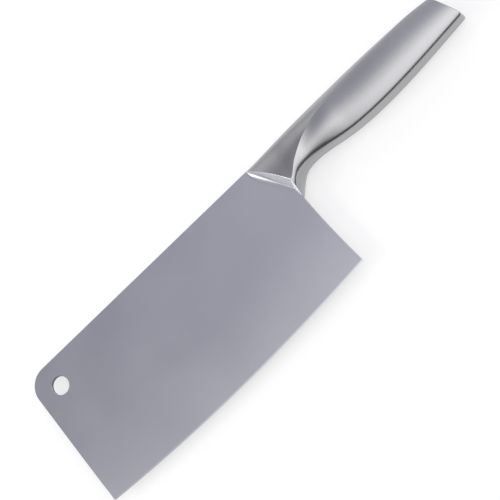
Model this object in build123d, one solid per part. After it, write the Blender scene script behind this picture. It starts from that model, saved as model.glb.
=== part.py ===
from build123d import *
import os
from bisect import bisect_right
from math import atan2, cos, degrees, hypot, radians, sin, tan

# Meat cleaver with a hollow stainless handle. All sizes in millimetres.
# The model is drawn with X running back from the blade's front edge, Y = 0 on the blade's
# spine (the cutting edge is at negative Y) and Z = 0 on the blade's mid-plane. The finished
# pieces are then moved so that the origin is the bottom centre of the whole cleaver.

# ---- Blade ----
BLADE_LENGTH = 178.5            # front edge to heel corner
FRONT_HEIGHT = 80.1             # spine to cutting edge at the front
HEEL_HEIGHT = 77.0              # spine to cutting edge at the heel
EDGE_BELLY = 3.7                # how far the cutting edge bows out from its chord
BLADE_THICKNESS = 2.0
FRONT_CORNER_RADIUS = 11.5      # spine to front edge
HEEL_HOLLOW = 0.5               # how far the heel edge bows inwards
HEEL_LEAN = 2.2                 # heel edge's top stands this far in front of its corner
HOLE_DIAMETER = 10.0
HOLE_FROM_FRONT = 14.2
HOLE_FROM_SPINE = 14.1
GRIND_HEIGHT = 30.0             # width of the ground band along the cutting edge
GRIND_END_THICKNESS = 0.9       # thickness where the sharpening bevel starts
BEVEL_HEIGHT = 0.9
EDGE_THICKNESS = 0.2

# ---- Tang, inside the bolster ----
TANG_STEP = 0.1                 # each face is ground back this much from the weld onwards
TANG_TOP = 6.5                  # below the blade's spine
TANG_WIDTH = 10.0
TANG_REACH = 12.0               # beyond the neck joint
TANG_BACKSET = 4.0              # its lower edge starts this far behind the heel corner
TANG_LAP = 2.0                  # cover behind the corner between the bolster's two bevels
SLOT_CLEARANCE = 0.15           # around the tang's edges, in its own plane

# ---- Bolster front ----
BOLSTER_LAP = 16.5              # the bolster's spine corner stands this far in front of the heel
BOLSTER_DEPTH = 24.8            # spine down to where its two bevels meet on the blade
BOLSTER_SLANT = 13.6            # how far back the long bevel's foot runs over that depth
BOLSTER_FOOT = 31.3             # spine down to the short bevel's lower end
FOOT_SLANT = 0.9                # how far back the short bevel's foot runs
LONG_BEVEL_LEAN = 0.46          # run for each unit of height
SHORT_BEVEL_LEAN = 0.41

# ---- Handle ----
HANDLE_LENGTH = 134.6           # bolster's spine corner to the end of the butt
CREASE_HALF_THICKNESS = 8.8     # at the bolster
BELLY_NECK = 21.3               # blade's spine line down to the grip's narrowest place
GRIP_BELLY = 25.2               # blade's spine line down to the lowest point of the grip
BUTT_BELLY = 20.8               # blade's spine line down to the grip's lower corner at the butt
BUTT_RISE = 8.4                 # how far the butt's upper end stands in front of its lower end
BUTT_TOP = 0.2                  # the butt's end face meets the spine this far above that line
BUTT_BULGE = 0.6
BUTT_SPINE_RADIUS = 5.0
BUTT_BELLY_RADIUS = 1.8
WALL = 1.5
NECK_JOINT = 30.0               # bolster's spine corner to the neck weld
SPIGOT_LENGTH = 14.0            # bolster's spigot inside the shells
CAP_THICKNESS = 3.0
CAP_SPIGOT = 4.0
WELD_WIDTH = 0.8                # every seam of the hollow handle
FIT_CLEARANCE = 0.2             # spigots and filler inside the shells
PIN_DIAMETER = 3.0
PIN_LENGTH = 11.0
PIN_CLEARANCE = 0.02
FRONT_WELD_WIDTH = 3.0
FRONT_WELD_HEIGHT = 0.9
FRONT_WELD_START = 1.5          # below the blade's spine

FAR = 60.0                      # reach of the cutting blocks past the pieces they trim
LEAST_RADIUS = 0.4              # of the hollow's corners

NECK_X = BLADE_LENGTH - BOLSTER_LAP
BUTT_X = NECK_X + HANDLE_LENGTH
JOINT_X = NECK_X + NECK_JOINT
HALF_BLADE = BLADE_THICKNESS / 2
HALF_TANG = HALF_BLADE - TANG_STEP
# The feet of the bolster's two bevels on the blade's faces.
BEVEL_TOP = (NECK_X, 0.0)
BEVEL_CORNER = (NECK_X + BOLSTER_SLANT, -BOLSTER_DEPTH)
BEVEL_BOTTOM = (BEVEL_CORNER[0] + FOOT_SLANT, -BOLSTER_FOOT)


def smooth_curve(points):
    """Return f(s), a smooth curve through (s, value) points that holds its end values."""
    places = [p[0] for p in points]
    values = [p[1] for p in points]
    last = len(points) - 1
    slopes = [0.0] * len(points)
    for i in range(1, last):
        slopes[i] = (values[i + 1] - values[i - 1]) / (places[i + 1] - places[i - 1])

    def curve(s):
        if s <= places[0]:
            return values[0]
        if s >= places[last]:
            return values[last]
        i = bisect_right(places, s) - 1
        span = places[i + 1] - places[i]
        t = (s - places[i]) / span
        start = (1 + 2 * t) * (1 - t) ** 2 * values[i] + t * (1 - t) ** 2 * span * slopes[i]
        end = t * t * (3 - 2 * t) * values[i + 1] - t * t * (1 - t) * span * slopes[i + 1]
        return start + end

    return curve


# The handle's lines along its length. Places are fractions of the handle's length behind the
# bolster's spine corner, and heights are below (negative) or above the blade's spine.
spine_line = smooth_curve([(0, 0.0), (0.2, 0.9), (0.4, 1.2), (0.65, 0.9), (0.9, -0.9), (1, -1.9)])
crease_line = smooth_curve([
    (0, -27.0), (0.127, -22.6), (0.182, -16.5), (0.263, -10.2), (0.38, -5.2),
    (0.5, -3.4), (0.71, -2.6), (0.84, -2.3), (1, -4.2),
])
crease_thickness = smooth_curve([(0.25, 1.0), (0.5, 0.87), (0.72, 0.82), (0.9, 0.73), (1, 0.68)])
strip_half_width = smooth_curve([(0.12, 3.4), (0.22, 3.9), (0.4, 5.0), (0.7, 5.1), (1, 4.6)])
crown_tilt = smooth_curve([(0.17, 4.0), (0.45, 30.0)])
crown_fullness = smooth_curve([(0.17, 0.85), (0.45, 0.42)])
dome_start_tilt = smooth_curve([(0.17, -12.0), (0.4, 18.0)])
dome_end_tilt = smooth_curve([(0.17, 62.0), (0.44, 31.0)])
# Along the belly, the second number is the share of the swell from neck to grip.
BELLY_SHAPE = [(0.146, 0.82), (0.225, 0.0), (0.373, 0.59), (0.57, 1.0), (0.79, 0.58)]
STATIONS = [-0.05 + 0.1 * step for step in range(12)]
CROWN_RUN = 0.55                # how far the crown's curve pulls from the crease to the spine
DOME_PULL = 0.36                # pull of the side's curve at each end, as a share of its chord
CREASE_INSET = 0.3              # how far the crease moves down for each unit of wall
BELLY_OVERRUN = 1.5             # sections run this far past the belly, to be trimmed to it
LEAST_HALF_WIDTH = 0.3          # of a section's lower end


def belly_points(inset):
    """Points of the grip's lower line, from the bolster's foot to the butt."""
    points = [(BEVEL_BOTTOM[0], -BOLSTER_FOOT + inset)]
    for place, share in BELLY_SHAPE:
        depth = BELLY_NECK + share * (GRIP_BELLY - BELLY_NECK)
        points.append((NECK_X + place * HANDLE_LENGTH, -depth + inset))
    points.append((BUTT_X - inset, -BUTT_BELLY + inset))
    return points


def section(place, inset):
    """Closed cross-section of the handle at a fraction of its length, inset by a wall."""
    x = NECK_X + place * HANDLE_LENGTH
    spine = spine_line(place) - inset
    crease = crease_line(place) - CREASE_INSET * inset
    half = CREASE_HALF_THICKNESS * crease_thickness(place) - inset
    tilt = radians(crown_tilt(place))
    start_tilt = radians(dome_start_tilt(place))
    end_tilt = radians(dome_end_tilt(place))
    low = smooth_curve(belly_points(0))(x) - BELLY_OVERRUN
    low_half = strip_half_width(place) - BELLY_OVERRUN * tan(end_tilt) - inset / cos(end_tilt)
    low_half = max(LEAST_HALF_WIDTH, low_half)
    run = CROWN_RUN * (spine - crease)
    pull = DOME_PULL * hypot(crease - low, half - low_half)

    def side(sign):
        crown = Bezier(
            (x, spine, 0),
            (x, spine, sign * crown_fullness(place) * half),
            (x, crease + run, sign * (half - run * tan(tilt))),
            (x, crease, sign * half),
        )
        dome = Bezier(
            (x, crease, sign * half),
            (x, crease - pull * cos(start_tilt), sign * (half + pull * sin(start_tilt))),
            (x, low + pull * cos(end_tilt), sign * (low_half + pull * sin(end_tilt))),
            (x, low, sign * low_half),
        )
        return [crown, dome]

    base = Line((x, low, low_half), (x, low, -low_half))
    return Wire(side(1) + [base] + side(-1))


def plan_prism(inset):
    """The handle's outline seen from the side of the blade, as a thick block."""
    points = belly_points(inset)
    foot, bottom = points[0], points[-1]
    top = (BUTT_X - inset - BUTT_RISE, BUTT_TOP - inset)
    middle = ((top[0] + bottom[0]) / 2 + BUTT_BULGE, (top[1] + bottom[1]) / 2)
    front_top = (NECK_X - FAR, FAR / 4)
    under_foot = (foot[0], foot[1] - FAR)
    front_bottom = (NECK_X - FAR, foot[1] - FAR)
    face = make_face([
        Line(front_top, top),
        ThreePointArc(top, middle, bottom),
        Spline(list(reversed(points))),
        Polyline(foot, under_foot, front_bottom, front_top),
    ])
    for corner, radius in ((bottom, BUTT_BELLY_RADIUS), (top, BUTT_SPINE_RADIUS)):
        vertex = face.vertices().sort_by_distance(Vector(*corner))[0]
        face = fillet(vertex, max(LEAST_RADIUS, radius - inset))
    return extrude(face, FAR / 2, both=True)


def handle_body(inset):
    """The whole handle as one solid, from in front of the bolster to the butt, inset by a wall."""
    return loft([make_face(section(place, inset)) for place in STATIONS]) & plan_prism(inset)


def bevel_plane(foot_top, foot_bottom):
    """Plane square to a bevel's foot: x runs back into the handle and y towards +Z."""
    along = Vector(*foot_bottom) - Vector(*foot_top)
    back = Vector(-along.Y, along.X).normalized()
    return Plane(origin=(*foot_top, 0), x_dir=(back.X, back.Y, 0), z_dir=(along.X, along.Y, 0))


def bevel_wedge(foot_top, foot_bottom, lean):
    """The space behind one bevel of the bolster, on both sides of the blade."""
    flare = FAR / 3
    profile = Polyline(
        (-HALF_BLADE * lean, 0),
        ((flare - HALF_BLADE) * lean, flare),
        (4 * FAR, flare),
        (4 * FAR, -flare),
        ((flare - HALF_BLADE) * lean, -flare),
        close=True,
    )
    return extrude(bevel_plane(foot_top, foot_bottom) * make_face(profile), 2 * FAR, both=True)


def slab(start, end):
    """Everything between two places along X."""
    return Pos((start + end) / 2, -BOLSTER_DEPTH / 2, 0) * Box(end - start, 2 * FAR, FAR)


def butt_slab(start, end):
    """Everything between two depths in front of the butt's slanted end face."""
    slant = degrees(atan2(BUTT_RISE, BUTT_BELLY))
    face = Pos(BUTT_X, -BUTT_BELLY, 0) * Rot(0, 0, slant)
    return face * Pos(-(start + end) / 2, 0, 0) * Box(end - start, 4 * FAR, FAR)


def side_slab(bottom, top):
    """Everything between two heights along Z."""
    return Pos(BUTT_X, 0, (bottom + top) / 2) * Box(8 * FAR, 4 * FAR, top - bottom)


def weld_line(y):
    """X of the front weld's outer edge on the blade at a height y."""
    slant = BOLSTER_SLANT / BOLSTER_DEPTH
    return NECK_X - FRONT_WELD_WIDTH * hypot(1, slant) - y * slant


def tang_outline(clearance):
    """The thinner rear of the blade's plate: the land under the front weld and the tang."""
    heel_y = -BOLSTER_FOOT - 1
    top = -TANG_TOP
    bottom = top - TANG_WIDTH
    end = JOINT_X + TANG_REACH
    face = make_face(Polyline(
        (weld_line(0), 0),
        (NECK_X, 0),
        (NECK_X + BOLSTER_SLANT, top),
        (end, top),
        (end, bottom),
        (BLADE_LENGTH + TANG_BACKSET, bottom),
        (BEVEL_CORNER[0] + TANG_LAP, -BOLSTER_DEPTH),
        (BLADE_LENGTH - HEEL_LEAN, heel_y),
        (weld_line(heel_y), heel_y),
        close=True,
    ))
    return offset(face, clearance, kind=Kind.INTERSECTION) if clearance else face


def edge_grind():
    """A disc about the cutting edge's own centre, whose rim is the ground and bevelled edge."""
    chord = Vector(BLADE_LENGTH, FRONT_HEIGHT - HEEL_HEIGHT)
    radius = (chord.length / 2) ** 2 / (2 * EDGE_BELLY) + EDGE_BELLY / 2
    middle = Vector(BLADE_LENGTH / 2, -(FRONT_HEIGHT + HEEL_HEIGHT) / 2)
    up = Vector(-chord.Y, chord.X).normalized()
    centre = middle + up * (radius - EDGE_BELLY)
    inside = radius - 2 * (FRONT_HEIGHT + EDGE_BELLY)
    rim = [
        (radius, EDGE_THICKNESS / 2),
        (radius - BEVEL_HEIGHT, GRIND_END_THICKNESS / 2),
        (radius - GRIND_HEIGHT, HALF_BLADE),
        (inside, HALF_BLADE),
    ]
    profile = Polyline(rim + [(r, -half) for r, half in reversed(rim)], close=True)
    disc = revolve(Plane.XZ * make_face(profile), Axis.Z)
    return Pos(centre.X, centre.Y, 0) * disc


def pin_places():
    """Centres of the two pins through the spigot and the tang."""
    y = -TANG_TOP - TANG_WIDTH / 2
    return [(JOINT_X + PIN_DIAMETER, y), (JOINT_X + TANG_REACH - PIN_DIAMETER, y)]


def drill_pin_holes(piece):
    """Cut both pin holes through a piece."""
    for place in pin_places():
        piece -= Pos(*place, 0) * Cylinder(PIN_DIAMETER / 2 + PIN_CLEARANCE, FAR)
    return piece


def blade():
    """The blade's plate with its ground edge and hanging hole, and the tang behind it."""
    below = -max(FRONT_HEIGHT, HEEL_HEIGHT) - 4 * EDGE_BELLY
    heel_top = (BLADE_LENGTH - HEEL_LEAN, -BOLSTER_FOOT - 1)
    heel = (BLADE_LENGTH, -HEEL_HEIGHT)
    hollow = ((heel_top[0] + heel[0]) / 2 - HEEL_HOLLOW, (heel_top[1] + heel[1]) / 2)
    face = make_face([
        Line((0, 0), (weld_line(0), 0)),
        Line((weld_line(0), 0), (weld_line(heel_top[1]), heel_top[1])),
        Line((weld_line(heel_top[1]), heel_top[1]), heel_top),
        ThreePointArc(heel_top, hollow, heel),
        Line(heel, (BLADE_LENGTH, below)),
        Line((BLADE_LENGTH, below), (0, below)),
        Line((0, below), (0, 0)),
    ])
    front_corner = face.vertices().sort_by(lambda v: hypot(v.X, v.Y))[0]
    plate = extrude(fillet(front_corner, FRONT_CORNER_RADIUS), HALF_BLADE, both=True)
    plate &= edge_grind()
    plate -= Pos(HOLE_FROM_FRONT, -HOLE_FROM_SPINE, 0) * Cylinder(HOLE_DIAMETER / 2, FAR)
    return drill_pin_holes(plate + extrude(tang_outline(0), HALF_TANG, both=True))


def bolster(body, core):
    """Solid neck of the handle, slotted for the blade, with a spigot for the shells."""
    neck = body & slab(NECK_X - FAR, JOINT_X - WELD_WIDTH / 2)
    spigot = core & slab(JOINT_X - WELD_WIDTH, JOINT_X + SPIGOT_LENGTH)
    slot = extrude(tang_outline(SLOT_CLEARANCE), HALF_TANG, both=True)
    return drill_pin_holes(neck + spigot - slot)


def front_welds(body):
    """The concave weld between the blade's faces and the long bevel, left and right."""
    top = HALF_TANG + FRONT_WELD_HEIGHT
    reach = (top - HALF_BLADE) * LONG_BEVEL_LEAN
    middle = (-FRONT_WELD_WIDTH / 3, HALF_BLADE + FRONT_WELD_HEIGHT / 5)
    profile = make_face([
        Line((-FRONT_WELD_WIDTH, HALF_TANG), (-FRONT_WELD_WIDTH, HALF_BLADE)),
        ThreePointArc((-FRONT_WELD_WIDTH, HALF_BLADE), middle, (reach, top)),
        Line((reach, top), (reach, HALF_TANG)),
        Line((reach, HALF_TANG), (-FRONT_WELD_WIDTH, HALF_TANG)),
    ])
    bead = extrude(bevel_plane(BEVEL_TOP, BEVEL_CORNER) * profile, 2 * FAR, both=True)
    height = BOLSTER_FOOT - FRONT_WELD_START
    span = Pos(NECK_X, -FRONT_WELD_START - height / 2, 0) * Box(2 * FAR, height, FAR)
    left = bead & span & extrude(tang_outline(0), FAR) - body
    return left, mirror(left, Plane.XY)


def handle_ring(body, cavity):
    """The hollow grip's wall between the neck weld and the butt weld."""
    wall = (body - cavity) & slab(JOINT_X + WELD_WIDTH / 2, BUTT_X + FAR)
    return wall - butt_slab(-FAR, CAP_THICKNESS + WELD_WIDTH)


def butt_cap(body, core):
    """Solid end of the handle with a short spigot inside the shells."""
    plug_end = CAP_THICKNESS + WELD_WIDTH + CAP_SPIGOT
    return (body & butt_slab(-FAR, CAP_THICKNESS)) + (core & butt_slab(CAP_THICKNESS, plug_end))


def filler(core):
    """Set filler in the hollow grip, between the bolster's spigot and the cap's."""
    free = core & slab(JOINT_X + SPIGOT_LENGTH + FIT_CLEARANCE, BUTT_X + FAR)
    return free - butt_slab(-FAR, CAP_THICKNESS + WELD_WIDTH + CAP_SPIGOT + FIT_CLEARANCE)


def tang_pins():
    """Two plain pins, shorter than the spigot is thick."""
    return [Pos(*place, 0) * Cylinder(PIN_DIAMETER / 2, PIN_LENGTH) for place in pin_places()]


def build_pieces():
    """All pieces by name, in the drawing frame."""
    body = handle_body(0)
    behind_long_bevel = bevel_wedge(BEVEL_TOP, BEVEL_CORNER, LONG_BEVEL_LEAN)
    behind_short_bevel = bevel_wedge(BEVEL_CORNER, BEVEL_BOTTOM, SHORT_BEVEL_LEAN)
    body &= behind_long_bevel + behind_short_bevel
    cavity = handle_body(WALL)
    core = handle_body(WALL + FIT_CLEARANCE)
    ring = handle_ring(body, cavity)
    half_seam = WELD_WIDTH / 2
    seams = (ring & side_slab(-half_seam, half_seam)).solids().sort_by(Axis.Y)
    left_weld, right_weld = front_welds(body)
    return {
        "blade": blade(),
        "bolster": bolster(body, core),
        "front_weld_left": left_weld,
        "front_weld_right": right_weld,
        "tang_pins": Compound(children=tang_pins()),
        "handle_shell_left": ring & side_slab(half_seam, FAR),
        "handle_shell_right": ring & side_slab(-FAR, -half_seam),
        "spine_seam_weld": seams[-1],
        "belly_seam_weld": seams[0],
        "neck_weld": (body - cavity) & slab(JOINT_X - half_seam, JOINT_X + half_seam),
        "butt_weld": (body - cavity) & butt_slab(CAP_THICKNESS, CAP_THICKNESS + WELD_WIDTH),
        "butt_cap": butt_cap(body, core),
        "handle_filler": filler(core),
    }


def main():
    """Build the pieces, move them so the origin is the bottom centre, and write them."""
    pieces = build_pieces()
    box = Compound([solid for piece in pieces.values() for solid in piece.solids()]).bounding_box()
    to_frame = Pos(-box.center().X, -box.center().Y, -box.min.Z)
    hole = to_frame * Vertex(HOLE_FROM_FRONT, -HOLE_FROM_SPINE, 0)
    print("overall size", box.size, "hanging hole at", hole.center())
    os.makedirs("parts", exist_ok=True)
    for name, piece in pieces.items():
        export_step(to_frame * Compound(children=piece.solids()), f"parts/{name}.step")


main()
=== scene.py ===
from math import atan2, cos, hypot, pi, radians, sin, sqrt, tan

import bmesh
import bpy
import numpy as np
from mathutils import Matrix, Vector
from mathutils.geometry import tessellate_polygon


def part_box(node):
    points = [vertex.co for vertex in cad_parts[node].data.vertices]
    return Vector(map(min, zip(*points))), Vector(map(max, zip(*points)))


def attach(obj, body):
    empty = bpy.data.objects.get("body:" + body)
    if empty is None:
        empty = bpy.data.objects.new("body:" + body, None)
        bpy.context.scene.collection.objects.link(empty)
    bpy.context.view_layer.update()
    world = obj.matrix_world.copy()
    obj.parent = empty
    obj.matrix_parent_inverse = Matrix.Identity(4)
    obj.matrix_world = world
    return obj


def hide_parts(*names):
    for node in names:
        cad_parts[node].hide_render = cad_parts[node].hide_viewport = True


# A meat cleaver with a hollow stainless handle, lying flat. Shapes are worked out in
# millimetres from the front end of the blade's spine, X running back to the butt, Y up towards
# the spine and Z square to the blade, and are placed in the frame in metres.

MM = 0.001

# ---- Blade ----
BLADE_LENGTH = 178.5
FRONT_HEIGHT = 80.1
HEEL_HEIGHT = 77.0
EDGE_BELLY = 3.7
HALF_BLADE = 1.0
FRONT_CORNER_RADIUS = 11.5
HEEL_HOLLOW = 0.5
HEEL_LEAN = 2.2
HOLE_RADIUS = 5.0
HOLE_PLACE = (14.2, -14.1)
GRIND_HEIGHT = 36.0
GRIND_END_HALF = 0.30
BEVEL_HEIGHT = 0.7
EDGE_HALF = 0.06
EDGE_CHAMFER = 0.14
TANG_TOP = 6.5
TANG_WIDTH = 10.0
TANG_LAP = 2.0
TANG_BACKSET = 4.0
TANG_REACH = 12.0

# ---- Bolster front ----
BOLSTER_LAP = 16.5
BOLSTER_DEPTH = 24.8
BOLSTER_SLANT = 13.6
BOLSTER_FOOT = 31.3
FOOT_SLANT = 0.9
LONG_BEVEL_LEAN = 0.46
SHORT_BEVEL_LEAN = 0.41
FRONT_WELD_WIDTH = 3.0
FRONT_WELD_HEIGHT = 1.5
WELD_START = 0.8
WELD_STOP = 0.1
WELD_LEAD = 0.22
WELD_TAIL = 0.28
WELD_TUCK = 0.3
WELD_ROOT = 0.1

# ---- Handle ----
HANDLE_LENGTH = 134.6
NECK_JOINT = 30.0
CREASE_HALF_THICKNESS = 8.8
BELLY_NECK = 21.3
GRIP_BELLY = 25.2
BUTT_BELLY = 20.8
BUTT_RISE = 8.4
BUTT_TOP = 0.2
BUTT_BULGE = 0.6
BUTT_SPINE_RADIUS = 5.0
BUTT_BELLY_RADIUS = 1.8
BELLY_EDGE_ROUND = 2.1
NECK_EDGE_ROUND = 2.2
LEAST_INSET = 0.6
END_ROUND = 0.45
LEAST_HALF_WIDTH = 0.3
RIDGE_TOP_DEPTH = 22.8

NECK_X = BLADE_LENGTH - BOLSTER_LAP
BUTT_X = NECK_X + HANDLE_LENGTH
BEVEL_TOP = np.array([NECK_X, 0.0])
BEVEL_CORNER = np.array([NECK_X + BOLSTER_SLANT, -BOLSTER_DEPTH])
BEVEL_BOTTOM = np.array([BEVEL_CORNER[0] + FOOT_SLANT, -BOLSTER_FOOT])

# Edges that turn by more than these degrees shade as real edges.
HANDLE_EDGE_ANGLE = 15.5
BLADE_EDGE_ANGLE = 12
WELD_EDGE_ANGLE = 35


# ---------------------------------------------------------------- curves
def smooth_curve(points):
    """f(s): a smooth curve through (s, value) points that holds its end values."""
    places = np.array([p[0] for p in points], float)
    values = np.array([p[1] for p in points], float)
    slopes = np.zeros(len(points))
    slopes[1:-1] = (values[2:] - values[:-2]) / (places[2:] - places[:-2])

    def curve(s):
        s = min(max(s, places[0]), places[-1])
        i = min(int(np.searchsorted(places, s, side="right")) - 1, len(places) - 2)
        span = places[i + 1] - places[i]
        t = (s - places[i]) / span
        start = (1 + 2 * t) * (1 - t) ** 2 * values[i] + t * (1 - t) ** 2 * span * slopes[i]
        end = t * t * (3 - 2 * t) * values[i + 1] - t * t * (1 - t) * span * slopes[i + 1]
        return start + end

    return curve


def natural_spline(points, count):
    """Evenly stepped points of the natural cubic spline through points."""
    points = np.array(points, float)
    knots = np.concatenate([[0], np.cumsum(np.hypot(*np.diff(points, axis=0).T))])
    gaps = np.diff(knots)
    size = len(points)
    matrix = np.eye(size)
    right = np.zeros((size, 2))
    for i in range(1, size - 1):
        matrix[i, i - 1:i + 2] = gaps[i - 1], 2 * (gaps[i - 1] + gaps[i]), gaps[i]
        right[i] = 6 * ((points[i + 1] - points[i]) / gaps[i] - (points[i] - points[i - 1]) / gaps[i - 1])
    bend = np.linalg.solve(matrix, right)
    out = []
    for s in np.linspace(0, knots[-1], count):
        i = min(int(np.searchsorted(knots, s, side="right")) - 1, size - 2)
        a, b, h = knots[i + 1] - s, s - knots[i], gaps[i]
        out.append((bend[i] * a ** 3 + bend[i + 1] * b ** 3) / (6 * h)
                   + (points[i] / h - bend[i] * h / 6) * a + (points[i + 1] / h - bend[i + 1] * h / 6) * b)
    return np.array(out)


def bezier(p0, p1, p2, p3, t):
    """Point of a cubic curve, given by its control points."""
    u = 1 - t
    return u ** 3 * p0 + 3 * u * u * t * p1 + 3 * u * t * t * p2 + t ** 3 * p3


def circle_through(a, b, c):
    """Centre and radius of the circle through three points in a plane."""
    matrix = 2 * np.array([b - a, c - a])
    centre = np.linalg.solve(matrix, np.array([b @ b - a @ a, c @ c - a @ a]))
    return centre, hypot(*(a - centre))


spine_line = smooth_curve([(0, 0.0), (0.2, 0.9), (0.4, 1.2), (0.65, 0.9), (0.9, -0.9), (1, -1.9)])
crease_line = smooth_curve([
    (0, -27.0), (0.127, -22.6), (0.182, -16.5), (0.263, -10.2), (0.38, -5.2),
    (0.5, -3.4), (0.71, -2.6), (0.84, -2.3), (1, -4.2),
])
crease_thickness = smooth_curve([(0.25, 1.0), (0.5, 0.87), (0.72, 0.82), (0.9, 0.73), (1, 0.68)])
strip_half_width = smooth_curve([(0.12, 2.6), (0.22, 3.7), (0.4, 5.0), (0.7, 5.1), (1, 4.6)])
crown_tilt = smooth_curve([(0.17, 4.0), (0.45, 30.0)])
crown_fullness = smooth_curve([(0.17, 0.62), (0.45, 0.42)])
crown_run = smooth_curve([(0.15, 0.42), (0.5, 0.55)])
dome_start_tilt = smooth_curve([(0.17, -20.0), (0.4, 13.0)])
dome_end_tilt = smooth_curve([(0.17, 74.0), (0.3, 50.0), (0.44, 31.0)])
dome_pull = smooth_curve([(0.17, 0.5), (0.44, 0.36)])
belly_edge_round = smooth_curve([(0.17, NECK_EDGE_ROUND), (0.35, BELLY_EDGE_ROUND)])
belly_overrun = smooth_curve([(0.17, 0.6), (0.44, 1.5)])
BELLY_SHAPE = [(0.146, 0.82), (0.225, 0.0), (0.373, 0.59), (0.57, 1.0), (0.79, 0.58)]


def belly_points():
    """Points that the belly passes through, from the bolster's foot to the butt."""
    points = [tuple(BEVEL_BOTTOM)]
    for place, share in BELLY_SHAPE:
        points.append((NECK_X + place * HANDLE_LENGTH, -BELLY_NECK - share * (GRIP_BELLY - BELLY_NECK)))
    return points + [(BUTT_X, -BUTT_BELLY)]


BELLY = natural_spline(belly_points(), 600)


def belly(x):
    """Height of the handle's belly at a place x."""
    return float(np.interp(x, BELLY[:, 0], BELLY[:, 1]))


# ---------------------------------------------------------------- butt outline
def butt_outline():
    """Plan curve of the butt from the spine to the belly, with both corners rounded."""
    top = np.array([BUTT_X - BUTT_RISE, BUTT_TOP])
    bottom = np.array([BUTT_X, -BUTT_BELLY])
    middle = (top + bottom) / 2 + np.array([BUTT_BULGE, 0])
    centre, radius = circle_through(top, middle, bottom)
    spine_slope = (spine_line(0.93) - spine_line(0.87)) / (0.06 * HANDLE_LENGTH)
    belly_slope = (belly(BUTT_X - 1) - belly(BUTT_X - 4)) / 3
    points = []
    for slope, corner_radius, anchor, side in (
        (spine_slope, BUTT_SPINE_RADIUS, (BUTT_X - 10, spine_line(1 - 10 / HANDLE_LENGTH)), 1),
        (belly_slope, BUTT_BELLY_RADIUS, (BUTT_X - 2, belly(BUTT_X - 2)), -1),
    ):
        along = np.array([1, slope]) / hypot(1, slope)
        inward = side * np.array([slope, -1]) / hypot(1, slope)
        line = np.array(anchor) + inward * corner_radius
        offset = line - centre
        reach = radius - corner_radius
        b = offset @ along
        t = -b + sqrt(b * b - (offset @ offset - reach ** 2))
        corner = line + t * along
        touch_line = corner - inward * corner_radius
        out = (corner - centre) / hypot(*(corner - centre))
        start = atan2(*(touch_line - corner)[::-1])
        end = atan2(*out[::-1])
        turns = [start + (end - start) * i / 12 for i in range(13)]
        arc = [corner + corner_radius * np.array([cos(a), sin(a)]) for a in turns]
        points += arc if side == 1 else arc[::-1]
    return np.array(points)


BUTT = butt_outline()


def butt_x(y):
    """How far back the butt reaches at a height y."""
    return float(np.interp(-y, -BUTT[:, 1], BUTT[:, 0]))


# ---------------------------------------------------------------- handle sections
def dome_curve(x):
    """Control points (y, z) of the handle's domed side at a place x, for z above the mid-plane."""
    place = (x - NECK_X) / HANDLE_LENGTH
    crease = np.array([crease_line(place), CREASE_HALF_THICKNESS * crease_thickness(place)])
    start_tilt = radians(dome_start_tilt(place))
    end_tilt = radians(dome_end_tilt(place))
    overrun = belly_overrun(place)
    low = np.array([belly(x) - overrun, strip_half_width(place) - overrun * tan(end_tilt)])
    low[1] = max(LEAST_HALF_WIDTH, low[1])
    pull = dome_pull(place) * hypot(*(crease - low))
    return (crease, crease + pull * np.array([-cos(start_tilt), sin(start_tilt)]),
            low + pull * np.array([cos(end_tilt), sin(end_tilt)]), low)


def crown_curve(x):
    """Control points (y, z) of the rounded spine at a place x, for z above the mid-plane."""
    place = (x - NECK_X) / HANDLE_LENGTH
    spine = spine_line(place)
    crease = crease_line(place)
    half = CREASE_HALF_THICKNESS * crease_thickness(place)
    run = crown_run(place) * (spine - crease)
    return (np.array([spine, 0.0]), np.array([spine, crown_fullness(place) * half]),
            np.array([crease + run, half - run * tan(radians(crown_tilt(place)))]), np.array([crease, half]))


def where_dome_reaches(curve, y):
    """Share t of a side's curve at which it comes down to a height y."""
    low, high = 0.0, 1.0
    for _ in range(24):
        middle = (low + high) / 2
        if bezier(*curve, middle)[0] > y:
            low = middle
        else:
            high = middle
    return (low + high) / 2


# Lines of the handle's surface: round the crown, down the side, round its lower edge and down to
# the middle of the belly. Two of them run close beside the crease, which keeps it crisp.
CREASE_GAP = 0.012
CROWN_STEPS = [i / 28 for i in range(28)]
DOME_STEPS = [0.0, CREASE_GAP] + [i / 24 for i in range(1, 24)]
ROUND_STEPS = [i / 9 for i in range(10)]
STRIP_STEPS = [0.3, 0.65, 1.0]
LINES = ([("crown", t) for t in CROWN_STEPS] + [("crown", 1 - CREASE_GAP)]
         + [("dome", t) for t in DOME_STEPS]
         + [("round", t) for t in ROUND_STEPS] + [("strip", t) for t in STRIP_STEPS])


def surface_point(x, line):
    """Point (x, y, z) of one lengthwise line of the handle's surface, z above the mid-plane."""
    kind, t = line
    if kind == "crown":
        y, z = bezier(*crown_curve(x), t)
        return np.array([x, y, z])
    curve = dome_curve(x)
    wall = belly(x)
    lower = curve[3] - curve[2]
    edge_round = belly_edge_round((x - NECK_X) / HANDLE_LENGTH)
    inset = edge_round * max(LEAST_INSET, abs(lower[0]) / hypot(*lower))
    start = where_dome_reaches(curve, wall + inset)
    if kind == "dome":
        y, z = bezier(*curve, t * start)
        return np.array([x, y, z])
    a = bezier(*curve, start)
    b = np.array([wall, bezier(*curve, where_dome_reaches(curve, wall))[1]])
    c = b - np.array([0, min(0.7 * edge_round, 0.4 * b[1])])
    if kind == "round":
        y, z = (1 - t) ** 2 * a + 2 * t * (1 - t) * b + t * t * c
        return np.array([x, y, z])
    return np.array([x, wall, c[1] * (1 - t)])


def square_to_foot(foot_top, foot_bottom):
    """Direction in the blade's plane that points back from a bevel's foot, square to it."""
    along = (foot_bottom - foot_top) / hypot(*(foot_bottom - foot_top))
    return np.array([-along[1], along[0]])


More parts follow.
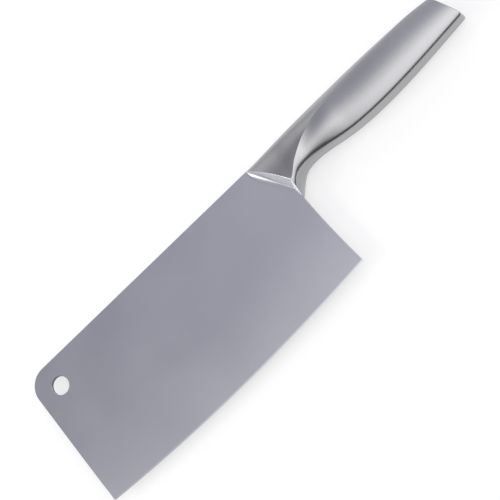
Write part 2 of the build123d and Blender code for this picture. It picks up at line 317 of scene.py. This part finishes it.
LONG_BACK = square_to_foot(BEVEL_TOP, BEVEL_CORNER)
SHORT_BACK = square_to_foot(BEVEL_CORNER, BEVEL_BOTTOM)


def depth_behind(point, foot, back, lean):
    """How far a point lies behind a bevel's plane, measured in the blade's plane."""
    return (point[:2] - foot) @ back - lean * (point[2] - HALF_BLADE)


def front_x(line):
    """Where a line of the handle's surface meets the bolster's bevels."""
    low, high = NECK_X - 4, NECK_X + 34
    for _ in range(30):
        middle = (low + high) / 2
        point = surface_point(middle, line)
        behind = max(depth_behind(point, BEVEL_TOP, LONG_BACK, LONG_BEVEL_LEAN),
                     depth_behind(point, BEVEL_CORNER, SHORT_BACK, SHORT_BEVEL_LEAN))
        if behind > 0:
            high = middle
        else:
            low = middle
    return (low + high) / 2


def back_x(line):
    """Where a line of the handle's surface meets the butt."""
    if line[0] == "strip":
        return float(BUTT[-1, 0])
    low, high = BUTT_X - 30, BUTT_X + 1
    for _ in range(30):
        middle = (low + high) / 2
        if butt_x(surface_point(middle, line)[1]) > middle:
            low = middle
        else:
            high = middle
    return (low + high) / 2


def rounded_corner(a, corner, c, count=15):
    """Points of the curve that rounds off a corner, from a to c."""
    return [(1 - t) ** 2 * a + 2 * t * (1 - t) * corner + t * t * c
            for t in [i / (count + 1) for i in range(count + 2)]]


def bevel_foot(front):
    """Where a bevel that meets the handle's surface at front comes down to the blade."""
    long_bevel = (depth_behind(front, BEVEL_TOP, LONG_BACK, LONG_BEVEL_LEAN)
                  >= depth_behind(front, BEVEL_CORNER, SHORT_BACK, SHORT_BEVEL_LEAN))
    rise = max(0.0, front[2] - HALF_BLADE)
    if long_bevel:
        foot_xy = front[:2] - LONG_BACK * LONG_BEVEL_LEAN * rise
    else:
        share = np.clip((-RIDGE_TOP_DEPTH - front[1]) / (BOLSTER_FOOT - RIDGE_TOP_DEPTH), 0, 1)
        foot_xy = BEVEL_CORNER + share * (BEVEL_BOTTOM - BEVEL_CORNER)
        if rise == 0:
            foot_xy = front[:2]
    return np.array([foot_xy[0], foot_xy[1], min(front[2], HALF_BLADE)])


def handle_line(line, stations=110):
    """All points of one lengthwise line, from the bevel's foot to the butt's end wall.

    They lie closer together near the bolster, where the sections change fastest.
    """
    start, end = front_x(line), back_x(line)
    front = surface_point(start, line)
    foot = bevel_foot(front)
    slope = foot - front
    length = np.linalg.norm(slope)
    ease = min(END_ROUND, 0.4 * length)
    points = []
    if length > 1e-6:
        down = slope / length
        points += [foot + (front + down * ease - foot) * i / 5 for i in range(5)]
        points += rounded_corner(front + down * ease, front, surface_point(start + ease, line))
    else:
        points += [foot] * 5 + [front] * 16 + [surface_point(start + END_ROUND, line)]
    inner = start + max(ease, 1e-4) if length > 1e-6 else start + END_ROUND
    outer = end - END_ROUND
    for i in range(1, stations):
        u = i / stations
        x = inner + (outer - inner) * (0.35 * u + 0.65 * u * u)
        points.append(surface_point(x, line))
    back = surface_point(end, line)
    drop = min(END_ROUND, 0.5 * back[2])
    points += rounded_corner(surface_point(outer, line), back, back - np.array([0, 0, drop]))
    return points


class MeshMaker:
    """Collects points and faces, sharing points that coincide."""

    def __init__(self):
        self.points = []
        self.faces = []
        self.index = {}

    def point(self, p):
        key = (round(p[0], 5), round(p[1], 5), round(p[2], 5))
        if key not in self.index:
            self.index[key] = len(self.points)
            self.points.append(key)
        return self.index[key]

    def face(self, corners):
        ids = []
        for corner in corners:
            i = self.point(corner)
            if i not in ids:
                ids.append(i)
        if len(ids) > 2:
            self.faces.append(ids)

    def grid(self, rows):
        for a, b in zip(rows, rows[1:]):
            for i in range(len(a) - 1):
                self.face([a[i], a[i + 1], b[i + 1], b[i]])

    def build(self, name, origin):
        mesh = bpy.data.meshes.new(name)
        mesh.from_pydata([(np.array(p) * MM + origin)[:3].tolist() for p in self.points], [], self.faces)
        mesh.update()
        work = bmesh.new()
        work.from_mesh(mesh)
        bmesh.ops.recalc_face_normals(work, faces=work.faces)
        work.to_mesh(mesh)
        work.free()
        obj = bpy.data.objects.new(name, mesh)
        bpy.context.scene.collection.objects.link(obj)
        mesh.shade_smooth()
        return obj


def flipped(points):
    """The same points mirrored to the far side of the blade."""
    return [np.array([p[0], p[1], -p[2]]) for p in points]


def make_handle(origin):
    """Bolster, grip and butt cap as the one seamless skin that grinding leaves."""
    left = [handle_line(line) for line in LINES]
    maker = MeshMaker()
    maker.grid(left)
    maker.grid([flipped(points) for points in left])
    walls = [[points[-1] * np.array([1, 1, s]) for s in (1, 0.5, 0, -0.5, -1)] for points in left]
    maker.grid(walls)
    maker.grid([[points[0], points[0] * np.array([1, 1, -1])] for points in left])
    handle = maker.build("handle", origin)
    keep_flat(handle, HANDLE_EDGE_ANGLE)
    return handle


# ---------------------------------------------------------------- blade
def edge_circle():
    """Centre and radius of the bowed cutting edge."""
    chord = np.array([BLADE_LENGTH, FRONT_HEIGHT - HEEL_HEIGHT])
    length = hypot(*chord)
    radius = (length / 2) ** 2 / (2 * EDGE_BELLY) + EDGE_BELLY / 2
    middle = np.array([BLADE_LENGTH / 2, -(FRONT_HEIGHT + HEEL_HEIGHT) / 2])
    return middle + np.array([-chord[1], chord[0]]) / length * (radius - EDGE_BELLY), radius


EDGE_CENTRE, EDGE_RADIUS = edge_circle()
HEEL_TOP = np.array([BLADE_LENGTH - HEEL_LEAN, -BOLSTER_FOOT - 1])
HEEL_CORNER = np.array([BLADE_LENGTH, -HEEL_HEIGHT])


def heel_x(y):
    """X of the heel edge at a height y, a shallow hollow between its two ends."""
    t = (y - HEEL_TOP[1]) / (HEEL_CORNER[1] - HEEL_TOP[1])
    return HEEL_TOP[0] + t * (HEEL_CORNER[0] - HEEL_TOP[0]) - 4 * HEEL_HOLLOW * t * (1 - t)


def edge_y(x, depth):
    """Height of the line that lies a given depth inside the cutting edge."""
    return EDGE_CENTRE[1] - sqrt((EDGE_RADIUS - depth) ** 2 - (x - EDGE_CENTRE[0]) ** 2)


def half_thickness(depth):
    """Half the blade's thickness at a depth inside the cutting edge: a convex grind."""
    if depth <= BEVEL_HEIGHT:
        return EDGE_HALF + (GRIND_END_HALF - EDGE_HALF) * depth / BEVEL_HEIGHT
    u = min(1.0, (depth - BEVEL_HEIGHT) / (GRIND_HEIGHT - BEVEL_HEIGHT))
    return GRIND_END_HALF + (HALF_BLADE - GRIND_END_HALF) * (1 - (1 - u) ** 2)


def grind_rows(columns=140):
    """Rows of the ground band, from the cutting edge up, each from front edge to heel."""
    depths = [0, BEVEL_HEIGHT, BEVEL_HEIGHT * 1.15] + [
        BEVEL_HEIGHT + (GRIND_HEIGHT - BEVEL_HEIGHT) * (i / 22) for i in range(1, 23)]
    rows = []
    for depth in depths:
        half = half_thickness(depth)
        chamfer = EDGE_CHAMFER if depth > 2 * EDGE_CHAMFER else EDGE_CHAMFER * 0.2
        chamfer = min(chamfer, half * 0.5)
        end = heel_x(edge_y(BLADE_LENGTH, depth))
        row = [np.array([0, edge_y(0, depth), half - chamfer])]
        for i in range(columns + 1):
            x = chamfer + (end - 2 * chamfer) * i / columns
            row.append(np.array([x, edge_y(x, depth), half]))
        row.append(np.array([end, edge_y(end, depth), half - chamfer]))
        rows.append(row)
    return rows


def plate_outline(corner_steps=16, heel_steps=24):
    """Outer outline of the flat part, from the front of the ground band round to its heel end."""
    r = FRONT_CORNER_RADIUS
    points = [np.array([0.0, -r])]
    for i in range(1, corner_steps):
        a = pi - pi / 2 * i / corner_steps
        points.append(np.array([r + r * cos(a), -r + r * sin(a)]))
    points.append(np.array([r, 0.0]))
    tang_end = NECK_X + NECK_JOINT + TANG_REACH
    points += [np.array(p) for p in (
        (NECK_X, 0.0), (NECK_X + BOLSTER_SLANT, -TANG_TOP), (tang_end, -TANG_TOP),
        (tang_end, -TANG_TOP - TANG_WIDTH), (BLADE_LENGTH + TANG_BACKSET, -TANG_TOP - TANG_WIDTH),
        (BEVEL_CORNER[0] + TANG_LAP, -BOLSTER_DEPTH), tuple(HEEL_TOP))]
    last = edge_y(BLADE_LENGTH, GRIND_HEIGHT)
    for i in range(1, heel_steps):
        y = HEEL_TOP[1] + (last - HEEL_TOP[1]) * i / heel_steps
        points.append(np.array([heel_x(y), y]))
    return points


def inset_outline(before, points, after, amount):
    """Points moved inwards by an amount, square to the outline (which runs clockwise)."""
    chain = [before] + points + [after]
    moved = []
    for a, b, c in zip(chain, chain[1:], chain[2:]):
        first = (b - a) / hypot(*(b - a))
        second = (c - b) / hypot(*(c - b))
        normal = np.array([first[1], -first[0]]) + np.array([second[1], -second[0]])
        normal = normal / hypot(*normal)
        share = normal @ np.array([first[1], -first[0]])
        moved.append(b + normal * amount / max(share, 0.5))
    return moved


def hole_ring(radius, z, steps=72):
    """Closed ring of points round the hanging hole."""
    turns = [2 * pi * (i % steps) / steps for i in range(steps + 1)]
    return [np.array([HOLE_PLACE[0] + radius * cos(a), HOLE_PLACE[1] + radius * sin(a), z])
            for a in turns]


def make_blade(origin):
    """The blade with its convex ground band, sharpening bevel, softened edges and hanging hole."""
    maker = MeshMaker()
    rows = grind_rows()
    outer = plate_outline()
    top_row = rows[-1]
    inner = inset_outline(top_row[0][:2], outer, top_row[-1][:2], EDGE_CHAMFER)
    level = HALF_BLADE
    side = HALF_BLADE - EDGE_CHAMFER
    rim_outer = [top_row[0]] + [np.array([*p, side]) for p in outer] + [top_row[-1]]
    rim_inner = [top_row[1]] + [np.array([*p, level]) for p in inner] + [top_row[-2]]
    hole_top = hole_ring(HOLE_RADIUS + EDGE_CHAMFER, level)
    hole_side = hole_ring(HOLE_RADIUS, side)
    sheet = rim_inner + list(reversed(top_row[2:-2]))
    corners = sheet + hole_top[:-1]
    triangles = tessellate_polygon([[Vector(p) for p in sheet], [Vector(p) for p in hole_top[:-1]]])
    for turned in (list, flipped):
        maker.grid([turned(row) for row in rows])
        maker.grid([turned(rim_outer), turned(rim_inner)])
        maker.grid([turned(hole_side), turned(hole_top)])
        for triangle in triangles:
            maker.face(turned([corners[i] for i in triangle]))
    wall = [row[0] for row in rows] + rim_outer[1:-1] + [row[-1] for row in reversed(rows)]
    wall += list(reversed(rows[0]))
    maker.grid([wall, flipped(wall)])
    maker.grid([hole_side, flipped(hole_side)])
    blade = maker.build("cleaver_blade", origin)
    keep_flat(blade, BLADE_EDGE_ANGLE)
    return blade


def keep_flat(obj, degrees):
    """Split smooth shading at real edges, so that the faces beside them shade true."""
    obj.data.set_sharp_from_angle(angle=radians(degrees))


def paint_hole_shade(blade, material, origin):
    """Give the punched wall of the hanging hole its own dull, dark material: a rough cut finish whose dark
    colour is painted shade inside the hole.
    """
    blade.data.materials.append(material)
    centre = origin[:2] + np.array(HOLE_PLACE) * MM
    for face in blade.data.polygons:
        reach = hypot(face.center.x - centre[0], face.center.y - centre[1])
        if reach < (HOLE_RADIUS + 0.5 * EDGE_CHAMFER) * MM and abs(face.normal.z) < 0.5:
            face.material_index = 1


# ---------------------------------------------------------------- front welds
# Share of the weld's height along its length, from the spine's end to the corner of the bevels.
weld_fullness = smooth_curve([(0, 0.1), (0.08, 0.7), (0.25, 1.0), (0.6, 0.35), (1, 0.08)])


def weld_section(share, steps=12):
    """Closed section of the weld at a share of its length: a concave face, tucked into the steel."""
    along = (BEVEL_CORNER - BEVEL_TOP) / hypot(*(BEVEL_CORNER - BEVEL_TOP))
    length = hypot(*(BEVEL_CORNER - BEVEL_TOP))
    foot = BEVEL_TOP + along * (WELD_START + (length - WELD_START - WELD_STOP) * share)
    lead = 1 - (1 - min(1, share / WELD_LEAD)) ** 2
    tail = 1 - 0.75 * max(0, (share - 1 + WELD_TAIL) / WELD_TAIL) ** 2
    height = FRONT_WELD_HEIGHT * weld_fullness(share)
    toe = foot - LONG_BACK * FRONT_WELD_WIDTH * (0.08 + 0.92 * lead * tail)
    head = foot + LONG_BACK * LONG_BEVEL_LEAN * height
    section = []
    for t in [k / steps for k in range(steps + 1)]:
        xy = (1 - t) ** 2 * toe + 2 * t * (1 - t) * foot + t * t * head
        section.append(np.array([*xy, HALF_BLADE + height * t * t]))
    tucked = head + LONG_BACK * WELD_TUCK
    section.append(np.array([*tucked, HALF_BLADE + height]))
    section.append(np.array([*tucked, HALF_BLADE - WELD_ROOT]))
    section.append(np.array([*toe, HALF_BLADE - WELD_ROOT]))
    return section + section[:1]


def make_front_weld(sign, origin, steps=48):
    """The soft concave weld between one face of the blade and the bolster's bevels."""
    maker = MeshMaker()
    sections = [weld_section(i / steps) for i in range(steps + 1)]
    rows = [[p * np.array([1, 1, sign]) for p in section] for section in sections]
    maker.grid(rows)
    for end in (rows[0], rows[-1]):
        maker.face(end[:-1])
    weld = maker.build("weld_bead_left" if sign > 0 else "weld_bead_right", origin)
    keep_flat(weld, WELD_EDGE_ANGLE)
    return weld


# ---------------------------------------------------------------- materials
def math_node(nodes, links, operation, first, second=None):
    """Result of an operation on two values, each a number or another node's output."""
    node = nodes.new("ShaderNodeMath")
    node.operation = operation
    for socket, value in zip(node.inputs, (first, second)):
        if isinstance(value, (int, float)):
            socket.default_value = value
        elif value is not None:
            links.new(value, socket)
    return node.outputs[0]


def noise(nodes, links, vector, scale, detail, roughness=0.5):
    """A noise pattern laid out by a vector; gives its grey value."""
    node = nodes.new("ShaderNodeTexNoise")
    node.inputs["Scale"].default_value = scale
    node.inputs["Detail"].default_value = detail
    node.inputs["Roughness"].default_value = roughness
    links.new(vector, node.inputs["Vector"])
    return node.outputs["Fac"]


def spread(nodes, links, value, low, high):
    """Stretch a pattern's 0 to 1 over low to high."""
    node = nodes.new("ShaderNodeMapRange")
    node.inputs["To Min"].default_value = low
    node.inputs["To Max"].default_value = high
    links.new(value, node.inputs["Value"])
    return node.outputs["Result"]


def add_bump(nodes, links, height, strength, distance):
    """Let a pattern raise the surface by up to a distance in metres."""
    bump = nodes.new("ShaderNodeBump")
    bump.inputs["Strength"].default_value = strength
    bump.inputs["Distance"].default_value = distance
    links.new(height, bump.inputs["Height"])
    links.new(bump.outputs["Normal"], nodes["Principled BSDF"].inputs["Normal"])


def steel(name, colour, roughness, grain_strength, grain_scale, contrast):
    """Satin stainless steel with fine lengthwise brushing, faint marks and uneven gloss."""
    material = bpy.data.materials.new(name)
    material.use_nodes = True
    nodes, links = material.node_tree.nodes, material.node_tree.links
    shader = nodes["Principled BSDF"]
    shader.inputs["Metallic"].default_value = 1.0
    coords = nodes.new("ShaderNodeTexCoord")
    stretch = nodes.new("ShaderNodeMapping")
    stretch.inputs["Scale"].default_value = grain_scale
    links.new(coords.outputs["Object"], stretch.inputs["Vector"])
    grain = noise(nodes, links, stretch.outputs["Vector"], 24.0, 6.0, 0.65)
    cloud = noise(nodes, links, coords.outputs["Object"], 28.0, 4.0)
    tone = spread(nodes, links, grain, 1 - contrast, 1 + contrast)
    stain = spread(nodes, links, cloud, 0.965, 1.035)
    paint = nodes.new("ShaderNodeVectorMath")
    paint.operation = "SCALE"
    paint.inputs[0].default_value = colour
    links.new(math_node(nodes, links, "MULTIPLY", tone, stain), paint.inputs["Scale"])
    links.new(paint.outputs["Vector"], shader.inputs["Base Color"])
    links.new(spread(nodes, links, cloud, roughness - 0.05, roughness + 0.05), shader.inputs["Roughness"])
    add_bump(nodes, links, grain, grain_strength, 0.00002)
    return material


def resin():
    """Set filler resin: dull, mottled and slightly pitted."""
    material = bpy.data.materials.new("filler_resin")
    material.use_nodes = True
    nodes, links = material.node_tree.nodes, material.node_tree.links
    shader = nodes["Principled BSDF"]
    coords = nodes.new("ShaderNodeTexCoord")
    mottle = noise(nodes, links, coords.outputs["Object"], 420.0, 8.0)
    shade = nodes.new("ShaderNodeValToRGB")
    shade.color_ramp.elements[0].color = (0.10, 0.09, 0.075, 1)
    shade.color_ramp.elements[1].color = (0.19, 0.17, 0.14, 1)
    links.new(mottle, shade.inputs["Fac"])
    links.new(shade.outputs["Color"], shader.inputs["Base Color"])
    links.new(spread(nodes, links, mottle, 0.6, 0.8), shader.inputs["Roughness"])
    add_bump(nodes, links, mottle, 0.4, 0.0002)
    return material


def plain_floor():
    """White paper that glows a little, so that it stays white under soft light."""
    material = bpy.data.materials.new("floor_paper")
    material.use_nodes = True
    shader = material.node_tree.nodes["Principled BSDF"]
    shader.inputs["Base Color"].default_value = (0.40, 0.40, 0.40, 1)
    shader.inputs["Roughness"].default_value = 0.9
    shader.inputs["Specular IOR Level"].default_value = 0.1
    shader.inputs["Emission Color"].default_value = (1, 1, 1, 1)
    shader.inputs["Emission Strength"].default_value = 0.56
    return material


def cover(obj, material):
    """Give an object this material alone."""
    obj.data.materials.clear()
    obj.data.materials.append(material)


# ---------------------------------------------------------------- stage
def make_floor():
    """A plain pale floor under the cleaver."""
    bpy.ops.mesh.primitive_plane_add(size=12, location=(0, 0, 0))
    floor = bpy.context.object
    floor.name = "floor"
    cover(floor, plain_floor())


def area_light(name, direction, distance, size, power):
    """A softbox in a direction from the cleaver's middle, facing it and hidden from the camera."""
    data = bpy.data.lights.new(name, "AREA")
    data.shape = "RECTANGLE"
    data.size, data.size_y = size
    data.energy = power
    light = bpy.data.objects.new(name, data)
    light.visible_camera = False
    bpy.context.scene.collection.objects.link(light)
    light.location = Vector(direction).normalized() * distance
    light.rotation_euler = (-light.location).to_track_quat("-Z", "Y").to_euler()


# Brightness of the studio round the cleaver's length, by direction: degrees from straight up
# towards the spine's side. Soft light stands above, and a dark gap lies low on the edge's side.
# The studio also brightens towards the butt, and glows a little beyond the front end.
STUDIO = [(-90, 0.06), (-66, 0.08), (-54, 0.14), (-45, 0.92), (-32, 1.20), (-9, 1.42), (6, 1.06),
          (20, 0.61), (30, 0.53), (44, 0.42), (56, 1.02), (70, 0.94), (90, 0.52)]
STUDIO_PEAK = 1.45
COOL_BELOW = 0.9
COOL_TINT = 1.13
PLAIN_TINT = 1.01
STUDIO_TILT = 2.2
TILT_CENTRE = -0.186
TILT_LIMITS = (0.66, 1.5)
FRONT_GLOW = 0.35
GLOW_START = -0.5
GLOW_FULL = -0.85


def show_plain_backdrop(nodes, links, studio):
    """Above the floor's far edge the room itself looks plain white; its softboxes only light."""
    plain = nodes.new("ShaderNodeBackground")
    plain.inputs["Color"].default_value = (1, 1, 1, 1)
    path = nodes.new("ShaderNodeLightPath")
    mix = nodes.new("ShaderNodeMixShader")
    links.new(path.outputs["Is Camera Ray"], mix.inputs["Fac"])
    links.new(studio.outputs[0], mix.inputs[1])
    links.new(plain.outputs[0], mix.inputs[2])
    links.new(mix.outputs[0], nodes["World Output"].inputs["Surface"])


def brightness_along(nodes, links, x):
    """How the studio's brightness changes along the cleaver, by a direction's share x towards the butt."""
    slope = math_node(nodes, links, "MULTIPLY", math_node(nodes, links, "SUBTRACT", x, TILT_CENTRE),
                      STUDIO_TILT)
    tilt = math_node(nodes, links, "ADD", slope, 1.0)
    tilt = math_node(nodes, links, "MAXIMUM", tilt, TILT_LIMITS[0])
    tilt = math_node(nodes, links, "MINIMUM", tilt, TILT_LIMITS[1])
    glow = nodes.new("ShaderNodeMapRange")
    glow.interpolation_type = "SMOOTHSTEP"
    glow.inputs["From Min"].default_value = GLOW_START
    glow.inputs["From Max"].default_value = GLOW_FULL
    glow.inputs["To Max"].default_value = FRONT_GLOW
    links.new(x, glow.inputs["Value"])
    return math_node(nodes, links, "ADD", tilt, glow.outputs["Result"])


def make_world():
    """A soft studio whose brightness changes smoothly round and along the cleaver."""
    world = bpy.data.worlds.new("studio")
    bpy.context.scene.world = world
    world.use_nodes = True
    nodes, links = world.node_tree.nodes, world.node_tree.links
    coords = nodes.new("ShaderNodeTexCoord")
    split = nodes.new("ShaderNodeSeparateXYZ")
    links.new(coords.outputs["Generated"], split.inputs[0])
    angle = math_node(nodes, links, "ARCTAN2", split.outputs["Y"], split.outputs["Z"])
    place = math_node(nodes, links, "ADD", math_node(nodes, links, "MULTIPLY", angle, 1 / pi), 0.5)
    ramp = nodes.new("ShaderNodeValToRGB")
    ramp.color_ramp.interpolation = "EASE"
    stops = ramp.color_ramp.elements
    for i, (degrees, level) in enumerate(STUDIO):
        stop = stops[i] if i < 2 else stops.new(1.0)
        stop.position = min(1.0, max(0.0, degrees / 180 + 0.5))
        tint = COOL_TINT if level < COOL_BELOW else PLAIN_TINT
        stop.color = (level / STUDIO_PEAK, level / STUDIO_PEAK, level * tint / STUDIO_PEAK, 1)
    links.new(place, ramp.inputs["Fac"])
    studio = nodes["Background"]
    links.new(ramp.outputs["Color"], studio.inputs["Color"])
    along = brightness_along(nodes, links, split.outputs["X"])
    links.new(math_node(nodes, links, "MULTIPLY", along, STUDIO_PEAK), studio.inputs["Strength"])
    show_plain_backdrop(nodes, links, studio)


CAMERA_AZIMUTH = 28.77
CAMERA_ELEVATION = 67.21
CAMERA_ROLL = -70.52
CAMERA_DISTANCE = 974.3
CAMERA_AIM = (-10.1, 8.25, 10.1)
CAMERA_LENS = 138.45


def make_camera():
    """A long lens above the handle's side, rolled so the cleaver crosses the frame."""
    azimuth, elevation = radians(CAMERA_AZIMUTH), radians(CAMERA_ELEVATION)
    towards = Vector((sin(azimuth) * cos(elevation), -cos(azimuth) * cos(elevation), sin(elevation)))
    place = (Vector(CAMERA_AIM) + towards * CAMERA_DISTANCE) * MM
    data = bpy.data.cameras.new("camera")
    data.lens = CAMERA_LENS
    data.sensor_width = 36
    camera = bpy.data.objects.new("camera", data)
    bpy.context.scene.collection.objects.link(camera)
    turn = towards.to_track_quat("Z", "Y").to_matrix().to_4x4()
    turn = turn @ Matrix.Rotation(radians(CAMERA_ROLL), 4, "Z")
    camera.matrix_world = Matrix.Translation(place) @ turn
    bpy.context.scene.camera = camera


def make_lights():
    """The studio itself, and softboxes above, beyond the front end and off its spine corner."""
    make_world()
    area_light("overhead", (-0.1, -0.15, 1), 2.2, (1.6, 1.0), 0.5)
    area_light("front_end", (-0.86, 0.06, 0.46), 1.5, (0.6, 0.85), 3.6)
    area_light("front_corner", (-0.70, 0.27, 0.66), 1.5, (0.28, 0.28), 2.8)


# ---------------------------------------------------------------- scene
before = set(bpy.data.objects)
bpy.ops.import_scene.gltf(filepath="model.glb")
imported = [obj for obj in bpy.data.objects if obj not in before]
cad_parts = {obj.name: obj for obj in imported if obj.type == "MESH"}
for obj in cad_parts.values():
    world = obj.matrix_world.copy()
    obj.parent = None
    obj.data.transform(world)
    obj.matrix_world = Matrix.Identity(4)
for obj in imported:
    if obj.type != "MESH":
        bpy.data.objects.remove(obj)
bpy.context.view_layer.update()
bpy.context.scene.view_settings.view_transform = "Standard"

blade_low, blade_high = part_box("blade")
ORIGIN = np.array([blade_low.x, blade_high.y, (blade_low.z + blade_high.z) / 2])

blade_steel = steel("blade_steel", (0.455, 0.455, 0.495), 0.25, 0.25, (5, 120, 120), 0.05)
# The hole's wall: rough cut steel, darkened well below the blade as painted shade inside the hole.
cut_steel_painted_shade = steel("cut_steel_painted_shade", (0.16, 0.16, 0.17), 0.5, 0.6, (90, 90, 20), 0.15)
pin_steel = steel("pin_steel", (0.42, 0.42, 0.43), 0.35, 0.4, (90, 90, 20), 0.08)
handle_steel = steel("handle_steel", (0.375, 0.375, 0.384), 0.27, 0.5, (20, 70, 70), 0.08)
weld_steel = steel("weld_steel", (0.42, 0.42, 0.445), 0.30, 0.6, (45, 45, 45), 0.08)

blade = make_blade(ORIGIN)
cover(blade, blade_steel)
paint_hole_shade(blade, cut_steel_painted_shade, ORIGIN)
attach(blade, "root")
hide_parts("blade")

handle = make_handle(ORIGIN)
cover(handle, handle_steel)
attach(handle, "root")
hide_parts("bolster", "handle_shell_left", "handle_shell_right", "spine_seam_weld",
            "belly_seam_weld", "neck_weld", "butt_weld", "butt_cap")

for sign, node in ((1, "front_weld_left"), (-1, "front_weld_right")):
    weld = make_front_weld(sign, ORIGIN)
    cover(weld, weld_steel)
    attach(weld, "root")
    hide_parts(node)

cover(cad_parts["tang_pins"], pin_steel)
cover(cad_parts["handle_filler"], resin())

make_floor()
make_lights()
make_camera()
